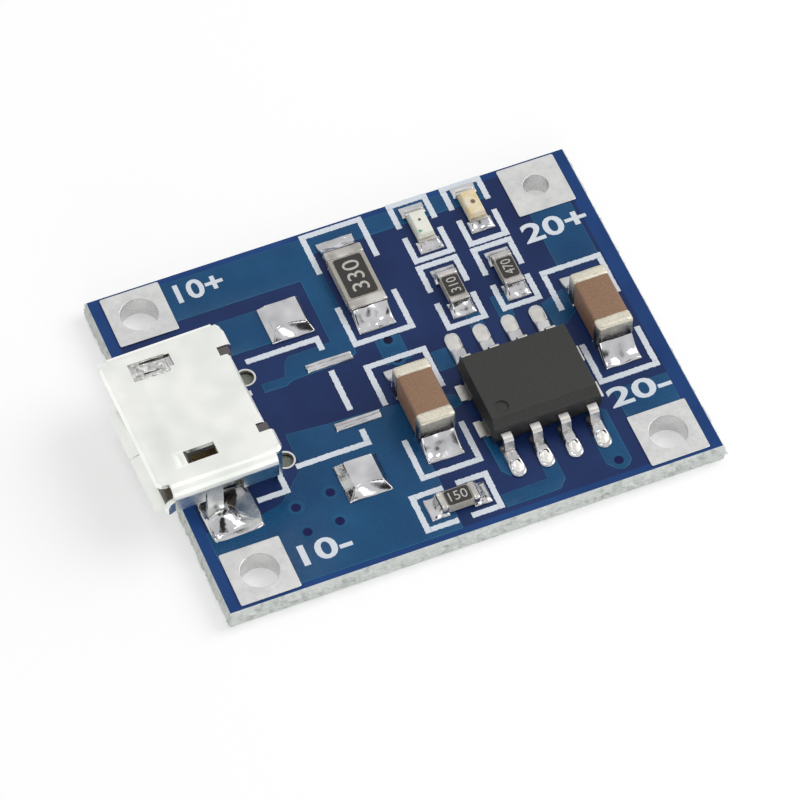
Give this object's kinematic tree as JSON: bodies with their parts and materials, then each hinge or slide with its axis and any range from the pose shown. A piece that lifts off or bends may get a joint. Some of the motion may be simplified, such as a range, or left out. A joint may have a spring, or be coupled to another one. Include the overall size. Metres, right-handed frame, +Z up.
{
  "type": "lithium battery charger module",
  "caption": "Small blue charger board for one lithium cell, with a micro-USB socket at one end, corner wire terminals, a small-outline charging chip and status lights.",
  "frame": {"origin": "centre of the board's underside", "axes": "+X along the board from the socket end to the cell terminals, +Y across it toward the plus terminals, +Z up through the board to the parts"},
  "size_m": [0.0231, 0.017, 0.0038],
  "materials": {
    "laminate": "glossy blue solder mask",
    "tinned_pad": "flat tin",
    "solder": "bright solder",
    "shell_steel": "bright nickel plate",
    "black_plastic": "moulded, satin",
    "contact_gold": "gold flash",
    "lead_tin": "bright tin",
    "white_ceramic": "matte",
    "dark_coat": "smooth dark coat",
    "tan_ceramic": "satin",
    "led_base": "pale laminate",
    "clear_lens": "clear epoxy",
    "amber_lens": "clear epoxy over a yellow die"
  },
  "bodies": {
    "root": {"charge_led_base": "led_base", "charge_led_end_1": "solder", "charge_led_end_2": "solder", "charge_led_lens": "clear_lens", "hole_ring_far": "tinned_pad", "hole_ring_near": "tinned_pad", "ic_body": "black_plastic", "ic_heat_slug": "lead_tin", "ic_lead_1": "lead_tin", "ic_lead_2": "lead_tin", "ic_lead_3": "lead_tin", "ic_lead_4": "lead_tin", "ic_lead_5": "lead_tin", "ic_lead_6": "lead_tin", "ic_lead_7": "lead_tin", "ic_lead_8": "lead_tin", "input_capacitor_core": "tan_ceramic", "input_capacitor_end_1": "solder", "input_capacitor_end_2": "solder", "led_resistor_a_coat": "dark_coat", "led_resistor_a_core": "white_ceramic", "led_resistor_a_end_1": "solder", "led_resistor_a_end_2": "solder", "led_resistor_b_coat": "dark_coat", "led_resistor_b_core": "white_ceramic", "led_resistor_b_end_1": "solder", "led_resistor_b_end_2": "solder", "output_capacitor_core": "tan_ceramic", "output_capacitor_end_1": "solder", "output_capacitor_end_2": "solder", "pcb_board": "laminate", "program_resistor_coat": "dark_coat", "program_resistor_core": "white_ceramic", "program_resistor_end_1": "solder", "program_resistor_end_2": "solder", "sense_resistor_coat": "dark_coat", "sense_resistor_core": "white_ceramic", "sense_resistor_end_1": "solder", "sense_resistor_end_2": "solder", "spare_bar_far": "solder", "spare_bar_near": "solder", "spare_pad_far": "solder", "spare_pad_near": "solder", "standby_led_base": "led_base", "standby_led_end_1": "solder", "standby_led_end_2": "solder", "standby_led_lens": "amber_lens", "terminal_bat_minus": "tinned_pad", "terminal_bat_plus": "tinned_pad", "terminal_in_minus": "tinned_pad", "terminal_in_plus": "tinned_pad", "usb_contact_1": "contact_gold", "usb_contact_2": "contact_gold", "usb_contact_3": "contact_gold", "usb_contact_4": "contact_gold", "usb_contact_5": "contact_gold", "usb_insulator": "black_plastic", "usb_shell": "shell_steel", "usb_solder_far": "solder", "usb_solder_near": "solder"}
  },
  "joints": []
}
